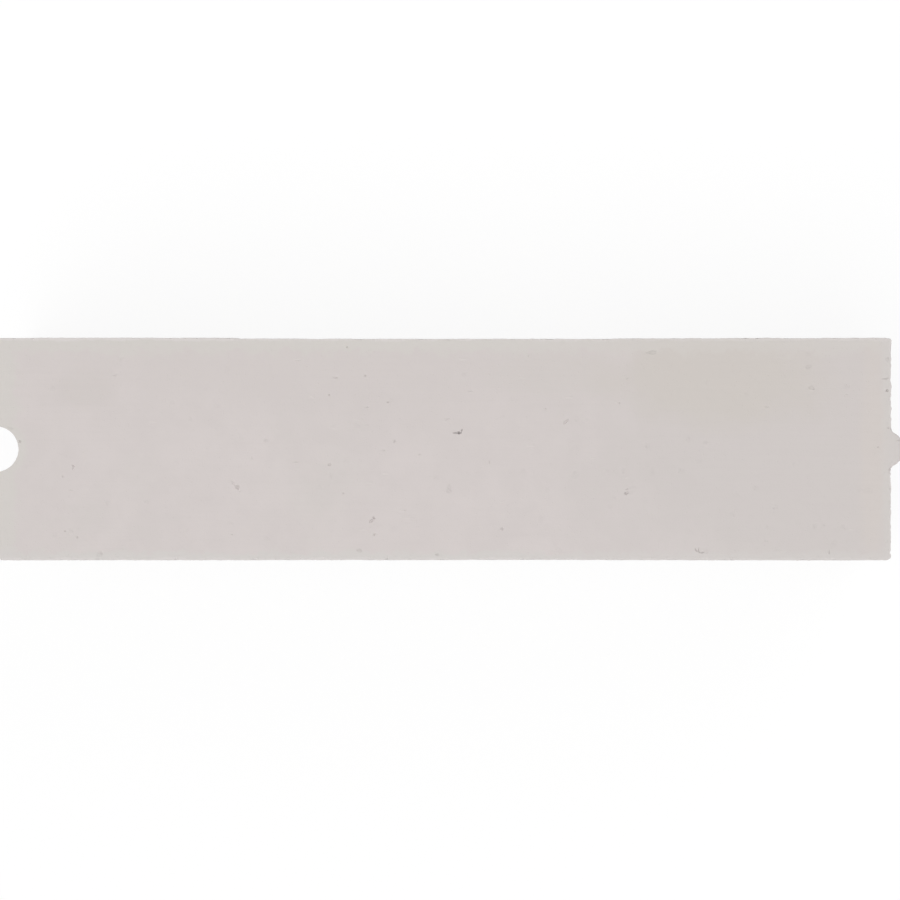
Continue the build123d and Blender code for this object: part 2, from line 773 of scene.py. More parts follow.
class Lining(Enum):
    """What the inside of a hollow is like: three linings are painted darker as shade, and the fresh
    one is paler, partly as painted light.
    """

    TORN = TornPaintedShadeFinish
    FRESH = FreshAndPaintedLightFinish
    DIPPED = DipPaintedShadeFinish
    GRIMY = DeepPaintedShadeFinish


class PitShape(Enum):
    """The ways in which the surface is broken."""

    BUBBLE = "bubble"  # a gas bubble, cut open
    DRAGGED = "dragged"  # a bubble that the wire has smeared along the block
    WEDGE = "wedge"  # a torn hollow, deep at one end
    GOUGE = "gouge"  # a narrow deep tear, painted dark inside as shade
    HOOKED = "hooked"  # a narrow tear with a kink
    CRUMB = "crumb"  # an angular crumb that has fallen out
    DISH = "dish"  # a wide shallow dip
    RUBBED = "rubbed"  # a long pale scrape
    CHIP = "chip"  # a crumb off an arris, freshly broken


@dataclass(frozen=True)
class Tail:
    """The slimmer end of a lump, for a radius of 1."""

    start: float  # where along the lump it starts
    scale: tuple[float, float, float]


@dataclass(frozen=True)
class LumpStyle:
    """How the lump is made that cuts a hollow of one shape, for a radius of 1."""

    dents: float  # how far its points are pushed about
    lift: float  # how far its middle stands over the surface
    fineness: int = 2  # how often the ball's faces are divided
    lining: Lining = Lining.TORN
    tail: Tail | None = None
    hooked: bool = False


LUMP_REACH = 1.4  # the furthest point of any lump, for a radius of 1
TORN_TAIL = Tail(0.25, (1.0, 0.7, 0.35))


LUMP_STYLES = {
    PitShape.BUBBLE: LumpStyle(0.12, -0.30),
    PitShape.DRAGGED: LumpStyle(0.14, 0.30, tail=Tail(-0.2, (1.2, 0.6, 0.45))),
    PitShape.WEDGE: LumpStyle(0.16, 0.0, 3, tail=TORN_TAIL),
    PitShape.GOUGE: LumpStyle(0.16, 0.0, 3, Lining.GRIMY, TORN_TAIL),
    PitShape.HOOKED: LumpStyle(0.16, 0.0, hooked=True),
    PitShape.CRUMB: LumpStyle(0.34, 0.1),
    PitShape.DISH: LumpStyle(0.10, 0.65, lining=Lining.DIPPED),
    PitShape.RUBBED: LumpStyle(0.12, 0.65, lining=Lining.FRESH),
    PitShape.CHIP: LumpStyle(0.30, 0.35, lining=Lining.FRESH),
}


@dataclass(frozen=True)
class Pit:
    """A hollow that the photograph shows in the upper bed, in millimetres."""

    x: float
    y: float
    length: float
    width: float
    depth: float
    shape: PitShape
    turn: float = 0.0  # degrees, seen from above


# The pits that the eye finds at once, each measured in the photograph.
SEEN_PITS = (
    # The dark wedge near the middle, with its upward tick and a smear over it.
    Pit(8.7, 10.9, 6.2, 2.3, 1.8, PitShape.GOUGE, 2),
    Pit(9.3, 10.9, 3.0, 1.9, 2.0, PitShape.GOUGE),
    Pit(11.6, 12.4, 2.6, 1.0, 1.2, PitShape.GOUGE, 74),
    Pit(1.7, 20.4, 5.0, 1.3, 0.3, PitShape.DRAGGED),
    # The scratch like a W, low on the right.
    Pit(169.1, -67.9, 3.2, 1.3, 0.8, PitShape.HOOKED, -68),
    Pit(171.0, -68.3, 2.9, 1.4, 1.0, PitShape.CRUMB, -84),
    Pit(173.0, -69.6, 3.6, 1.4, 0.95, PitShape.HOOKED, -2),
    Pit(175.8, -69.8, 3.0, 1.2, 0.2, PitShape.DRAGGED, 15),
    Pit(175.4, -68.4, 4.6, 2.0, 0.14, PitShape.DISH),
    # The heart-shaped pit below the middle, and its neighbours.
    Pit(-49.0, -48.2, 3.2, 2.3, 1.0, PitShape.CRUMB, 40),
    Pit(-47.3, -46.3, 2.5, 1.8, 0.9, PitShape.CRUMB, -60),
    Pit(-47.0, -57.4, 2.6, 2.0, 0.8, PitShape.CRUMB, 20),
    Pit(-57.1, -68.2, 4.0, 2.7, 0.55, PitShape.CRUMB),
    Pit(-68.1, -29.8, 1.4, 1.2, 0.5, PitShape.BUBBLE),
    # The pit in the lower left quarter, soft at its upper left.
    Pit(-142.0, -22.7, 5.0, 2.0, 0.6, PitShape.DRAGGED, -48),
    Pit(-139.2, -25.6, 3.4, 3.2, 1.3, PitShape.CRUMB, -35),
    Pit(-137.3, -27.8, 3.6, 2.6, 0.5, PitShape.DISH, -20),
    # The two by the groove, one like an arrowhead, and one on the groove's lip.
    Pit(-249.5, -11.3, 2.6, 1.3, 0.7, PitShape.HOOKED, -40),
    Pit(-249.3, -12.9, 2.6, 1.3, 0.7, PitShape.HOOKED, 50),
    Pit(-256.3, -18.5, 1.5, 1.7, 0.55, PitShape.BUBBLE),
    Pit(-285.2, 5.1, 1.8, 2.2, 0.8, PitShape.CRUMB, 80),
    Pit(-255.0, -55.1, 1.3, 1.3, 0.6, PitShape.BUBBLE),
    Pit(-251.1, -55.5, 4.4, 2.4, 0.24, PitShape.DISH),
    Pit(-246.6, -59.1, 1.5, 1.7, 0.55, PitShape.BUBBLE),
    # Smears and scuffs along the wire's way.
    Pit(138.5, 64.9, 8.4, 3.2, 0.9, PitShape.DRAGGED, 5),
    Pit(-221.7, 49.5, 5.8, 1.7, 0.5, PitShape.DRAGGED, 3),
    Pit(-98.4, 59.4, 5.0, 1.0, 0.18, PitShape.DRAGGED, 8),
    Pit(-52.4, 28.0, 3.4, 1.1, 0.3, PitShape.DRAGGED),
    Pit(-41.8, -1.0, 4.6, 1.2, 0.6, PitShape.DRAGGED),
    Pit(17.2, 39.0, 4.2, 1.1, 0.3, PitShape.DRAGGED),
    Pit(-100.9, -8.8, 5.0, 1.2, 0.4, PitShape.DRAGGED),
    Pit(216.1, 28.3, 4.6, 1.3, 0.5, PitShape.DRAGGED),
    Pit(216.1, -62.0, 4.0, 1.0, 0.35, PitShape.DRAGGED),
    Pit(269.6, 36.4, 3.6, 1.0, 0.25, PitShape.DRAGGED, 5),
    Pit(-251.3, -27.8, 4.4, 0.9, 0.35, PitShape.DRAGGED),
    Pit(-73.5, 48.0, 4.6, 1.2, 0.55, PitShape.DRAGGED),
    # Pale ones, where it has only rubbed the meal off.
    Pit(-98.5, 60.6, 6.4, 0.9, 0.12, PitShape.RUBBED, 4),
    Pit(-58.7, 19.8, 5.0, 1.1, 0.12, PitShape.RUBBED),
    Pit(2.0, 18.2, 4.6, 1.1, 0.12, PitShape.RUBBED),
    Pit(-50.6, -22.7, 4.8, 1.2, 0.12, PitShape.RUBBED),
    Pit(-39.7, -16.6, 4.8, 1.2, 0.12, PitShape.RUBBED),
    Pit(-28.7, -41.4, 5.0, 1.1, 0.12, PitShape.RUBBED),
    Pit(-24.7, -46.3, 6.0, 1.2, 0.12, PitShape.RUBBED),
    Pit(12.1, 60.5, 5.2, 1.1, 0.12, PitShape.RUBBED),
    Pit(52.2, 47.9, 4.6, 0.9, 0.12, PitShape.RUBBED),
    Pit(57.8, 2.0, 5.4, 1.0, 0.12, PitShape.RUBBED),
    Pit(100.0, -6.1, 4.2, 1.1, 0.12, PitShape.RUBBED),
    Pit(39.0, -35.6, 3.6, 1.1, 0.12, PitShape.RUBBED),
    Pit(-55.5, -54.3, 5.4, 1.0, 0.12, PitShape.RUBBED),
    Pit(-196.3, 18.2, 6.8, 1.1, 0.12, PitShape.RUBBED),
    Pit(-120.5, 8.0, 2.2, 1.4, 0.12, PitShape.RUBBED, 40),
    Pit(83.0, 34.6, 6.0, 1.2, 0.14, PitShape.RUBBED),
    Pit(273.3, -53.9, 4.0, 1.2, 0.12, PitShape.RUBBED),
    Pit(122.2, -19.4, 3.2, 1.6, 0.14, PitShape.RUBBED, 30),
    Pit(-89.0, 35.0, 4.4, 1.4, 0.12, PitShape.RUBBED, -30),
    Pit(246.7, 39.0, 3.6, 1.2, 0.14, PitShape.RUBBED, 8),
    Pit(115.7, 31.1, 1.6, 1.4, 0.12, PitShape.RUBBED),
    # Hollows where the cake has torn out shallow.
    Pit(3.0, -26.6, 6.4, 4.2, 0.56, PitShape.WEDGE, 265),
    Pit(87.4, -17.7, 6.6, 4.2, 0.34, PitShape.DISH, 80),
    Pit(245.0, 55.5, 5.0, 3.6, 0.5, PitShape.WEDGE, 200),
    Pit(246.4, 41.2, 4.6, 2.8, 0.55, PitShape.CRUMB, -10),
    Pit(248.0, 40.5, 1.9, 1.5, 0.6, PitShape.CRUMB, 20),
    Pit(-120.0, 5.7, 3.0, 2.6, 0.35, PitShape.CRUMB, 30),
    Pit(175.2, 4.3, 3.4, 2.2, 0.14, PitShape.CRUMB),
    Pit(-231.8, -71.1, 5.0, 3.0, 0.46, PitShape.CRUMB, 10),
    Pit(-230.7, -70.0, 2.0, 2.8, 0.62, PitShape.CRUMB, 50),
    # Soft dips.
    Pit(-200.2, -35.6, 4.4, 2.6, 0.2, PitShape.DISH),
    Pit(-136.7, 7.2, 3.8, 3.2, 0.26, PitShape.DISH),
    Pit(-153.5, 28.7, 5.4, 3.4, 0.24, PitShape.DISH),
    Pit(95.5, 19.4, 3.8, 2.6, 0.3, PitShape.DISH),
    Pit(-263.2, 40.9, 3.8, 4.4, 0.26, PitShape.DISH),
    Pit(-217.4, 60.0, 4.4, 2.4, 0.2, PitShape.DISH, 35),
    Pit(-183.0, 31.1, 4.2, 2.8, 0.17, PitShape.DISH),
    Pit(-170.4, 19.9, 2.6, 3.4, 0.17, PitShape.DISH),
    Pit(-180.9, -9.0, 4.0, 2.6, 0.17, PitShape.DISH),
    Pit(-226.8, -36.5, 3.0, 5.2, 0.2, PitShape.DISH),
    Pit(-143.8, -49.5, 5.0, 3.4, 0.13, PitShape.DISH),
    Pit(-172.9, -55.1, 3.6, 3.6, 0.2, PitShape.DISH),
    Pit(-262.0, -57.9, 4.6, 4.8, 0.13, PitShape.DISH),
    Pit(-119.2, -60.3, 5.2, 3.6, 0.1, PitShape.DISH),
    Pit(-35.2, -54.3, 6.4, 4.4, 0.1, PitShape.DISH, 20),
    Pit(12.8, 49.8, 3.6, 3.6, 0.2, PitShape.DISH),
    Pit(69.2, -27.9, 4.0, 4.0, 0.17, PitShape.DISH),
    Pit(159.0, -15.0, 5.4, 4.0, 0.24, PitShape.DISH),
    Pit(176.6, 45.1, 2.4, 5.4, 0.2, PitShape.DISH),
    Pit(163.5, 6.1, 4.8, 4.6, 0.14, PitShape.DISH),
    Pit(195.9, -30.7, 4.4, 3.6, 0.2, PitShape.DISH),
    Pit(209.0, -26.3, 5.0, 4.4, 0.09, PitShape.DISH),
    Pit(222.3, -38.9, 4.2, 3.2, 0.24, PitShape.DISH),
    Pit(193.1, -44.6, 5.0, 4.4, 0.13, PitShape.DISH),
    Pit(269.7, 41.6, 5.2, 4.2, 0.14, PitShape.DISH),
    Pit(136.8, 1.8, 3.8, 2.6, 0.2, PitShape.DISH),
    Pit(120.2, -14.7, 3.0, 4.4, 0.17, PitShape.DISH),
    Pit(-291.9, 14.1, 4.6, 2.2, 0.24, PitShape.CRUMB, -10),
    Pit(244.0, 63.5, 4.6, 3.0, 0.2, PitShape.DISH),
    Pit(-5.7, -19.4, 4.8, 4.8, 0.12, PitShape.DISH),
    Pit(88.7, 20.1, 4.4, 4.8, 0.12, PitShape.DISH),
    Pit(87.9, 1.2, 4.6, 3.6, 0.17, PitShape.DISH),
    Pit(53.1, -14.7, 4.4, 4.2, 0.14, PitShape.DISH),
    Pit(64.4, -47.4, 4.4, 7.0, 0.11, PitShape.DISH),
    Pit(77.3, -68.4, 5.0, 2.6, 0.17, PitShape.DISH),
    Pit(-36.0, 32.8, 3.6, 3.6, 0.14, PitShape.DISH),
    Pit(-58.7, 15.0, 5.0, 3.4, 0.17, PitShape.DISH),
    Pit(-52.5, 16.1, 4.0, 1.8, 0.17, PitShape.DISH),
    Pit(-76.5, -17.7, 3.4, 6.0, 0.17, PitShape.DISH),
    Pit(-83.8, -25.8, 3.8, 4.0, 0.17, PitShape.DISH),
    Pit(-67.6, -9.3, 3.2, 3.4, 0.14, PitShape.DISH),
    Pit(-74.9, 15.2, 4.6, 2.2, 0.14, PitShape.DISH),
    Pit(202.8, 36.5, 4.4, 3.8, 0.2, PitShape.DISH, 20),
    Pit(170.5, -8.8, 5.0, 4.0, 0.13, PitShape.DISH),
    Pit(108.9, -14.7, 3.6, 3.6, 0.14, PitShape.DISH),
    Pit(139.7, -15.3, 4.4, 7.0, 0.11, PitShape.DISH),
    Pit(113.8, -33.6, 3.8, 3.4, 0.17, PitShape.DISH, 30),
    Pit(111.3, -38.5, 3.8, 3.4, 0.17, PitShape.DISH, 30),
    Pit(216.6, -52.7, 3.6, 3.4, 0.14, PitShape.DISH),
    Pit(249.0, -51.9, 3.8, 3.2, 0.17, PitShape.DISH),
    Pit(254.7, -51.9, 4.0, 3.4, 0.17, PitShape.DISH),
    Pit(267.6, -52.2, 4.0, 3.4, 0.13, PitShape.DISH),
    Pit(261.9, -63.6, 5.4, 4.4, 0.17, PitShape.DISH, 60),
    Pit(285.4, -27.9, 7.6, 4.6, 0.17, PitShape.DISH),
    Pit(278.6, -27.9, 3.4, 3.4, 0.17, PitShape.DISH),
    Pit(292.7, -1.2, 4.0, 3.4, 0.17, PitShape.DISH),
    Pit(223.8, -68.4, 6.4, 2.6, 0.14, PitShape.DISH),
    # Small deep ones.
    Pit(122.2, -29.5, 3.0, 2.4, 1.1, PitShape.CRUMB, 200),
    Pit(122.6, -27.0, 2.0, 1.3, 0.5, PitShape.CRUMB, 10),
    Pit(125.2, -26.6, 5.0, 4.0, 0.42, PitShape.DISH, 50),
    Pit(81.7, 18.7, 4.6, 2.3, 0.8, PitShape.CRUMB, 38),
    Pit(-5.0, -70.8, 2.6, 1.8, 0.75, PitShape.BUBBLE),
    Pit(38.6, -53.7, 2.4, 2.2, 0.65, PitShape.CRUMB, 90),
    Pit(-33.4, 5.3, 2.6, 1.4, 0.75, PitShape.HOOKED, 50),
    Pit(-38.1, 31.5, 1.5, 1.3, 0.65, PitShape.BUBBLE),
    Pit(67.9, 26.9, 1.4, 1.3, 0.78, PitShape.BUBBLE),
    Pit(-77.6, 36.4, 1.5, 1.2, 0.9, PitShape.BUBBLE),
    Pit(-77.2, -10.3, 2.6, 2.0, 0.55, PitShape.BUBBLE),
    Pit(-65.4, 68.6, 1.4, 1.3, 0.65, PitShape.BUBBLE),
    Pit(-53.1, 49.4, 1.5, 1.6, 0.5, PitShape.BUBBLE),
    Pit(-16.8, -3.6, 1.3, 1.6, 0.53, PitShape.BUBBLE),
    Pit(30.3, -8.7, 2.8, 0.9, 0.33, PitShape.HOOKED, 85),
    Pit(117.6, 30.9, 1.5, 1.3, 0.5, PitShape.BUBBLE),
    Pit(-129.7, -6.3, 3.0, 1.4, 0.4, PitShape.DRAGGED, 85),
    Pit(55.9, 62.0, 3.6, 1.2, 0.35, PitShape.DRAGGED, 85),
    Pit(-142.8, -57.5, 1.2, 1.1, 0.6, PitShape.BUBBLE),
    Pit(122.5, 47.2, 1.7, 1.5, 0.25, PitShape.BUBBLE),
    # By the tongue's end: a pit on the brink, a short crack and a few specks.
    Pit(297.5, 39.4, 2.1, 2.3, 1.3, PitShape.CRUMB),
    Pit(296.7, 47.3, 5.4, 1.0, 0.5, PitShape.HOOKED, 4),
    Pit(291.4, 1.4, 1.3, 1.2, 0.55, PitShape.BUBBLE),
    Pit(258.8, -69.2, 3.0, 1.4, 0.6, PitShape.HOOKED, 80),
    Pit(297.7, 60.2, 3.6, 2.6, 0.5, PitShape.CRUMB, 80),
    Pit(297.2, -62.7, 2.8, 0.8, 0.25, PitShape.HOOKED),
    Pit(298.4, 14.5, 1.6, 1.8, 0.55, PitShape.CRUMB),
    Pit(304.9, 5.7, 2.8, 0.9, 0.7, PitShape.HOOKED, -12),
)


@dataclass(frozen=True)
class Stamp:
    """One hollow to cut: where it is, which way it faces, and how large it is, in metres."""

    place: Vector
    outward: Vector
    along: Vector
    length: float
    width: float
    depth: float
    shape: PitShape

    @property
    def radii(self) -> Vector:
        """The lump's three radii, of which only the part under the surface cuts.

        Returns:
            The radii along, across and into the surface.
        """
        lift = LUMP_STYLES[self.shape].lift
        wider = (1 - lift * lift) ** -0.5
        deeper = 1 / (1 - lift)
        return Vector((self.length / 2 * wider, self.width / 2 * wider, self.depth * deeper))

    @property
    def reach(self) -> float:
        """How far the lump can get from its place, with the dents of its surface."""
        return LUMP_REACH * max(self.radii)

    def matrix(self) -> Matrix:
        """Takes a unit lump to its place.

        Returns:
            The matrix, right-handed, so that the lump isn't turned inside out.
        """
        upright = self.outward.normalized()
        forward = (self.along - upright * self.along.dot(upright)).normalized()
        sideways = upright.cross(forward)
        turned = Matrix((forward, sideways, upright)).transposed().to_4x4()
        lifted = upright * LUMP_STYLES[self.shape].lift * self.radii.z
        sized = Matrix.Diagonal(self.radii).to_4x4()
        return Matrix.Translation(self.place + lifted) @ turned @ sized


@dataclass
class PitCutter:
    """Lumps of each shape, and the cutting of the hollows with copies of them."""

    linings: dict[Lining, bpy.types.Material]
    variants: int = 3
    ball_radius: float = 0.97
    hook_start: float = 0.35
    hook_offset: tuple[float, float, float] = (-0.1, 0.55, 0.0)
    moulds: dict[tuple[PitShape, int], bpy.types.Object] = field(default_factory=dict)

    def model_moulds(self) -> None:
        """Models each shape's lumps once, round the origin, with a radius of about 1."""
        for number, shape in enumerate(PitShape):
            for variant in range(self.variants):
                seed = 10 * number + variant
                self.moulds[shape, variant] = self.model_lump(shape, seed)

    def model_lump(self, shape: PitShape, seed: int) -> bpy.types.Object:
        """Works a ball into one lump.

        Args:
            shape: What kind of hollow it leaves.
            seed: The draw of its dents.

        Returns:
            The lump.
        """
        style = LUMP_STYLES[shape]
        bpy.ops.mesh.primitive_ico_sphere_add(subdivisions=style.fineness,
                                              radius=self.ball_radius)
        lump = bpy.context.object
        lump.name = f"lump_{shape.value}_{seed}"
        lump.data.materials.append(self.linings[style.lining])
        open_for_editing(lump, "VERT")
        bpy.ops.mesh.select_all(action="SELECT")
        bpy.ops.transform.vertex_random(offset=style.dents, normal=0.5, seed=seed)
        tail = style.tail
        if tail:
            pick(lump, "verts", lambda vert: vert.co.x < tail.start)
            bpy.ops.transform.resize(value=tail.scale, center_override=(0.0, 0.0, 0.0))
        if style.hooked:
            pick(lump, "verts", lambda vert: vert.co.x > self.hook_start)
            bpy.ops.transform.translate(value=self.hook_offset)
        close_editing()
        return lump

    def rounds(self, stamps: list[Stamp]) -> list[list[Stamp]]:
        """Sorts the hollows into rounds, in each of which no two touch.

        Args:
            stamps: All the hollows.

        Returns:
            The rounds, in the order that they are cut.
        """
        made: list[list[Stamp]] = []
        for stamp in stamps:
            for members in made:
                if all((stamp.place - other.place).length > stamp.reach + other.reach
                       for other in members):
                    members.append(stamp)
                    break
            else:
                made.append([stamp])
        return made

    def cut(self, body: bpy.types.Object, stamps: list[Stamp]) -> None:
        """Cuts every hollow out of a body.

        Args:
            body: The body, closed.
            stamps: The hollows.
        """
        self.model_moulds()
        for number, members in enumerate(self.rounds(stamps)):
            cutter = self.joined_lumps(members)
            apply_modifier(body, "BOOLEAN", operation="DIFFERENCE", object=cutter,
                           solver="MANIFOLD", material_mode="TRANSFER")
            bpy.data.objects.remove(cutter)
            log.info("round %d of pits: %d hollows", number + 1, len(members))
        for lump in self.moulds.values():
            bpy.data.objects.remove(lump)

    def joined_lumps(self, stamps: list[Stamp]) -> bpy.types.Object:
        """Copies a lump to each hollow's place and joins the copies.

        Args:
            stamps: The hollows of one round.

        Returns:
            The cutter, at the origin.
        """
        bpy.ops.object.select_all(action="DESELECT")
        copies = []
        for number, stamp in enumerate(stamps):
            mould = self.moulds[stamp.shape, number % self.variants]
            copy = mould.copy()
            copy.data = mould.data.copy()
            copy.data.transform(stamp.matrix())
            bpy.context.scene.collection.objects.link(copy)
            copy.select_set(True)
            copies.append(copy)
        bpy.context.view_layer.objects.active = copies[0]
        bpy.ops.object.join()
        return bpy.context.object


# The block


@dataclass(frozen=True)
class BlockSizes:
    """The driving sizes, in metres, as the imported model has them."""

    length: float
    thickness: float
    height: float
    tongue_reach: float
    groove_axis_x: float
    groove_radius: float

    @classmethod
    def from_frame(cls) -> "BlockSizes":
        """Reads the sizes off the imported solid's box and the groove's mount.

        Returns:
            The sizes.
        """
        low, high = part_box("block")
        mounts = {mount["name"]: mount for mount in frame["record"]["mounts"]}
        groove = mounts["end_groove"]
        return cls(
            length=-2 * low.x,
            thickness=high.y - low.y,
            height=high.z - low.z,
            tongue_reach=high.x + low.x,
            groove_axis_x=groove["pos_m"][0],
            groove_radius=groove["dims"]["r_mm"] * MM,
        )


class Skin(IntEnum):
    """The block's own faces, numbered as its material slots."""

    BED = 0
    END = 1
    SIDE = 2


@dataclass(frozen=True)
class Wear:
    """One way in which the surface has sunk unevenly."""

    name: str
    grain: float  # the size of the noise's lumps
    depth: float  # the deepest that it sinks
    spared: float  # the share of the noise's range, from its top, where nothing sinks
    group: str = ""  # the vertex group that it keeps to, or nothing
    level: float = 1.0  # the noise that leaves a point alone: below 1, some swell outwards
    direction: str = "NORMAL"


WEARS = (
    Wear("swell", 45 * MM, 0.25 * MM, 0.55),
    Wear("dimple", 9 * MM, 0.15 * MM, 0.4),
    Wear("chatter", 5 * MM, 0.30 * MM, 0.3, "sides"),
    Wear("crumble", 4 * MM, 1.60 * MM, 0.58, "arrises"),
    Wear("nibble", 1.6 * MM, 0.55 * MM, 0.5, "brinks"),
    Wear("groove_mill", 6 * MM, 0.90 * MM, 0.6, "groove_end"),
    # The tongue stands further out than its end face, which may swell out as well.
    Wear("tongue_mill", 5 * MM, 1.30 * MM, 0.0, "tongue_end", 0.32, "X"),
)

Steps = tuple[tuple[float, float, float], ...]
# Where the wire has wandered into a face along X, and where it comes out again: each step's
# share of the whole way, where it starts and where it ends, in metres. The front's first step
# lies past the groove's end, so that the front is half in from there on.
BACK_STEPS_IN: Steps = ((0.7, -0.142, -0.136), (0.3, -0.10, -0.05))
BACK_STEPS_OUT: Steps = ((0.45, 0.10, 0.13), (0.55, 0.14, 0.25))
FRONT_STEPS_IN: Steps = ((0.5, -0.40, -0.35), (0.5, -0.30, -0.21))
FRONT_STEPS_OUT: Steps = ((1.0, 0.150, 0.225),)

# The kinds of hollow on the faces that the photograph doesn't show, and how common each is.
STRAY_SHAPES = {
    PitShape.BUBBLE: 6,
    PitShape.DRAGGED: 3,
    PitShape.CRUMB: 2,
    PitShape.HOOKED: 1,
    PitShape.WEDGE: 1,
    PitShape.DISH: 3,
}


def climbed(steps: Steps, place: float) -> float:
    """The share of the way that some steps have climbed at a place."""
    return sum(share * smoothstep(start, end, place) for share, start, end in steps)


def slants(part: float) -> bool:
    """Whether a normal's part along an axis is that of a rounded edge, and not of a face."""
    return 0.3 < abs(part) < 0.94


@dataclass
class AeratedBlock:
    """The block: one body, sawn, milled, roughened and pitted, with its finishes."""

    sizes: BlockSizes
    seed: int = 5103
    tongue_root_width: float = 25.0 * MM
    tongue_flank_angle: float = 33.5  # degrees between a flank and the X axis
    tongue_shoulder_radius: float = 8.0 * MM
    tongue_root_radius: float = 2.5 * MM
    groove_facets: int = 64
    groove_lip_radius: float = 1.2 * MM
    groove_lip_turn: float = 84.0  # degrees by which the outline turns at a lip
    groove_end_edge_radius: float = 1.5 * MM
    tongue_end_back_radius: float = 2.0 * MM
    tongue_end_front_radius: float = 3.4 * MM
    bed_edge_radius: float = 0.8 * MM
    same_place: float = 0.05 * MM  # within which two points count as one
    touching_gap: float = 0.0005 * MM
    widest_pinch: float = 0.5 * MM
    grid_step: float = 3.2 * MM
    crumble_reach: float = 5.0 * MM
    brink_reach: tuple[float, float] = (2.0 * MM, 0.6 * MM)
    wander_band: tuple[float, float] = (40 * MM, 70 * MM)  # off the middle plane
    back_wander_depth: float = 0.7 * MM
    front_wander_depth: float = 0.2 * MM
    chip_count: int = 380
    chip_size: float = 0.8 * MM
    chip_spread: float = 0.45  # of the size's logarithm
    largest_chip: float = 3.0 * MM
    chip_lengths: tuple[float, float] = (1.4, 3.4)  # shares of its size, as the next two are
    chip_widths: tuple[float, float] = (1.0, 1.5)
    chip_depths: tuple[float, float] = (0.24, 0.38)
    worn_end: float = 10 * MM  # how far from the tongue's end face the arrises are more worn
    worn_chip: float = 1.3  # how much larger the chips are there
    stray_count: int = 560
    stray_size: float = 1.35 * MM
    stray_spread: float = 0.5  # of the size's logarithm
    largest_stray: float = 4.8 * MM
    stray_lengths: tuple[float, float] = (1.0, 1.6)  # shares of its size, as the depths are
    stray_depths: tuple[float, float] = (0.4, 0.7)
    stray_widths: tuple[float, float] = (0.6, 0.85)  # shares of its length
    dish_lengths: tuple[float, float] = (3.5 * MM, 6.5 * MM)
    dish_depths: tuple[float, float] = (0.15 * MM, 0.3 * MM)
    dish_widths: tuple[float, float] = (0.45, 0.75)  # shares of its length
    smooth_angle: float = 34.0  # degrees

    def build(self) -> bpy.types.Object:
        """Models and dresses the block, hangs it on the root body and hides the imported solid.

        Returns:
            The finished piece.
        """
        body = self.saw_body()
        self.raise_tongue(body)
        self.mill_groove(body)
        self.ease_upright_edges(body)
        self.ease_bed_edges(body)
        self.lay_grid(body)
        self.roughen(body)
        cutter = self.dress(body)
        cutter.cut(body, self.seen_hollows(body) + self.chips(body) + self.stray_hollows(body))
        self.tidy_mesh(body)
        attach(body, "root")
        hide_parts("block")
        return body

    @property
    def half_length(self) -> float:
        """Half of the distance between the end faces."""
        return self.sizes.length / 2

    @property
    def half_thickness(self) -> float:
        """Half of the thickness."""
        return self.sizes.thickness / 2

    @property
    def tip_width(self) -> float:
        """The tongue's width at its tip, before its shoulders are rounded."""
        slope = tan(radians(self.tongue_flank_angle))
        return self.tongue_root_width - 2 * self.sizes.tongue_reach * slope

    def saw_body(self) -> bpy.types.Object:
        """Saws the plain body out of the cake.

        Returns:
            A box of the body's size, without tongue or groove.
        """
        sizes = self.sizes
        bpy.ops.object.select_all(action="DESELECT")
        bpy.ops.mesh.primitive_cube_add(
            size=1.0,
            location=(0.0, 0.0, sizes.height / 2),
            scale=(sizes.length, sizes.thickness, sizes.height),
        )
        bpy.ops.object.transform_apply(location=True, rotation=True, scale=True)
        body = bpy.context.object
        body.name = "block_body"
        body.data.name = "block_body"
        return body

    def raise_tongue(self, body: bpy.types.Object) -> None:
        """Extrudes the tongue from a strip of the +X end and rounds it.

        Args:
            body: The plain body.
        """
        root_y = self.tongue_root_width / 2
        tip_x = self.half_length + self.sizes.tongue_reach
        middle = Vector((tip_x, 0, self.sizes.height / 2))
        open_for_editing(body, "FACE")
        for side in (-1, 1):
            slice_at(Vector((0, side * root_y, 0)), Vector((0, 1, 0)))
        pick(body, "faces", lambda face: face.normal.x > 0.9
             and abs(face.calc_center_median().y) < root_y)
        reach = (self.sizes.tongue_reach, 0.0, 0.0)
        bpy.ops.mesh.extrude_region_move(TRANSFORM_OT_translate={"value": reach})
        narrower = self.tip_width / self.tongue_root_width
        bpy.ops.transform.resize(value=(1.0, narrower, 1.0), center_override=middle)
        turn = radians(90 - self.tongue_flank_angle)
        for side in (-1, 1):
            self.round_upright(body, tip_x, side * self.tip_width / 2,
                               self.tongue_shoulder_radius, turn, 6)
            self.round_upright(body, self.half_length, side * root_y,
                               self.tongue_root_radius, turn, 3)
        close_editing()

    def round_upright(self, body: bpy.types.Object, x: float, y: float, radius: float,
                      turn: float, segments: int) -> None:
        """Rounds one upright edge of the open mesh.

        Args:
            body: The object that is open for editing.
            x: Where the edge stands.
            y: Where the edge stands.
            radius: The radius that it gets.
            turn: By how much the outline turns there, in radians.
            segments: How many flats make the round.
        """
        bpy.ops.mesh.select_mode(type="EDGE")
        foot = Vector((x, y))
        pick(body, "edges", lambda edge: all(
            (vert.co.xy - foot).length < self.same_place for vert in edge.verts))
        bpy.ops.mesh.bevel(offset_type="OFFSET", offset=radius * tan(turn / 2),
                           segments=segments, affect="EDGES", clamp_overlap=True)

